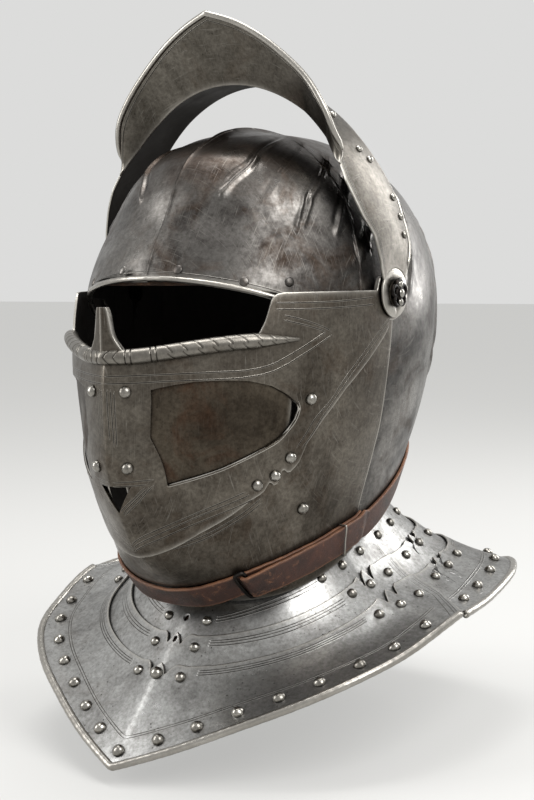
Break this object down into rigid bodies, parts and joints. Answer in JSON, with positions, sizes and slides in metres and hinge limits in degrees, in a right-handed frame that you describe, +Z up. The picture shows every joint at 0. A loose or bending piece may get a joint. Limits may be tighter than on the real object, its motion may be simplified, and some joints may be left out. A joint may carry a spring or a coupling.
{
  "type": "close helmet",
  "caption": "Steel close helmet with fluted skull, raised pointed peak, sight visor with nasal, lower bevor, flared lame neck guard and leather neck strap.",
  "frame": {"origin": "middle of the temple pivot axis, where the wearer's head is held", "axes": "+X the wearer's left, -Y the front, +Z up"},
  "size_m": [0.288, 0.3078, 0.4356],
  "materials": {
    "skull_steel": "worn and stained",
    "face_steel": "worn, brown patina",
    "window_steel": "dark brown patina",
    "peak_steel": "worn",
    "edge_steel": "bright worn edge",
    "guard_steel": "pitted",
    "rivet_steel": "domed and worn",
    "dark_iron": "blackened",
    "wire": "bright wire",
    "strap_leather": "worn red brown",
    "lining_leather": "dry brown"
  },
  "bodies": {
    "skull_body": {"skull": "skull_steel", "brow_rivets": "rivet_steel", "brow_liner": "lining_leather", "brow_bead": "skull_steel", "temple_pins": "dark_iron", "temple_washers": "dark_iron", "rosette_nuts": "dark_iron", "strap_rear": "strap_leather", "rear_top_lame": "guard_steel", "rear_top_rivets": "rivet_steel"},
    "visor_body": {"visor": "face_steel", "visor_rivets": "rivet_steel", "window_pane_left": "window_steel", "window_pane_right": "window_steel"},
    "bevor_body": {"bevor": "face_steel", "bevor_rivets": "rivet_steel", "strap_front": "strap_leather", "strap_fold": "strap_leather", "strap_loop": "dark_iron", "strap_keeper": "wire", "front_top_lame": "guard_steel", "front_top_rivets": "rivet_steel", "front_leathers": "lining_leather"},
    "peak_body": {"peak_band": "peak_steel", "brim": "peak_steel", "brim_rim": "edge_steel", "band_rivets": "rivet_steel", "stop_studs": "rivet_steel"},
    "front_middle_body": {"front_middle_lame": "guard_steel", "front_middle_rivets": "rivet_steel"},
    "front_main_body": {"front_main_lame": "guard_steel", "front_main_rivets": "rivet_steel", "front_edge_rivets": "rivet_steel", "front_edge_liner": "lining_leather", "front_edge_roll": "edge_steel"},
    "rear_middle_body": {"rear_middle_lame": "guard_steel", "rear_middle_rivets": "rivet_steel"},
    "rear_main_body": {"rear_main_lame": "guard_steel", "rear_main_rivets": "rivet_steel", "rear_edge_rivets": "rivet_steel", "rear_edge_liner": "lining_leather", "rear_edge_roll": "edge_steel"}
  },
  "joints": [
    {"name": "bevor_hinge", "type": "hinge", "parent": "skull_body", "child": "bevor_body", "pos_m": [0, 0, 0], "axis": [-1, 0, 0], "range_deg": [0, 26]},
    {"name": "visor_hinge", "type": "hinge", "parent": "bevor_body", "child": "visor_body", "pos_m": [0, 0, 0], "axis": [-1, 0, 0], "range_deg": [0, 22]},
    {"name": "peak_hinge", "type": "hinge", "parent": "visor_body", "child": "peak_body", "pos_m": [0, 0, 0], "axis": [1, 0, 0], "range_deg": [0, 66]},
    {"name": "front_middle_hinge", "type": "hinge", "parent": "bevor_body", "child": "front_middle_body", "pos_m": [0, 0.036, -0.165], "axis": [-1, 0, 0], "range_deg": [0, 3]},
    {"name": "front_main_hinge", "type": "hinge", "parent": "front_middle_body", "child": "front_main_body", "pos_m": [0, 0.036, -0.172], "axis": [-1, 0, 0], "range_deg": [0, 3]},
    {"name": "rear_middle_hinge", "type": "hinge", "parent": "skull_body", "child": "rear_middle_body", "pos_m": [0, 0.036, -0.165], "axis": [1, 0, 0], "range_deg": [0, 3]},
    {"name": "rear_main_hinge", "type": "hinge", "parent": "rear_middle_body", "child": "rear_main_body", "pos_m": [0, 0.036, -0.172], "axis": [1, 0, 0], "range_deg": [0, 3]}
  ]
}
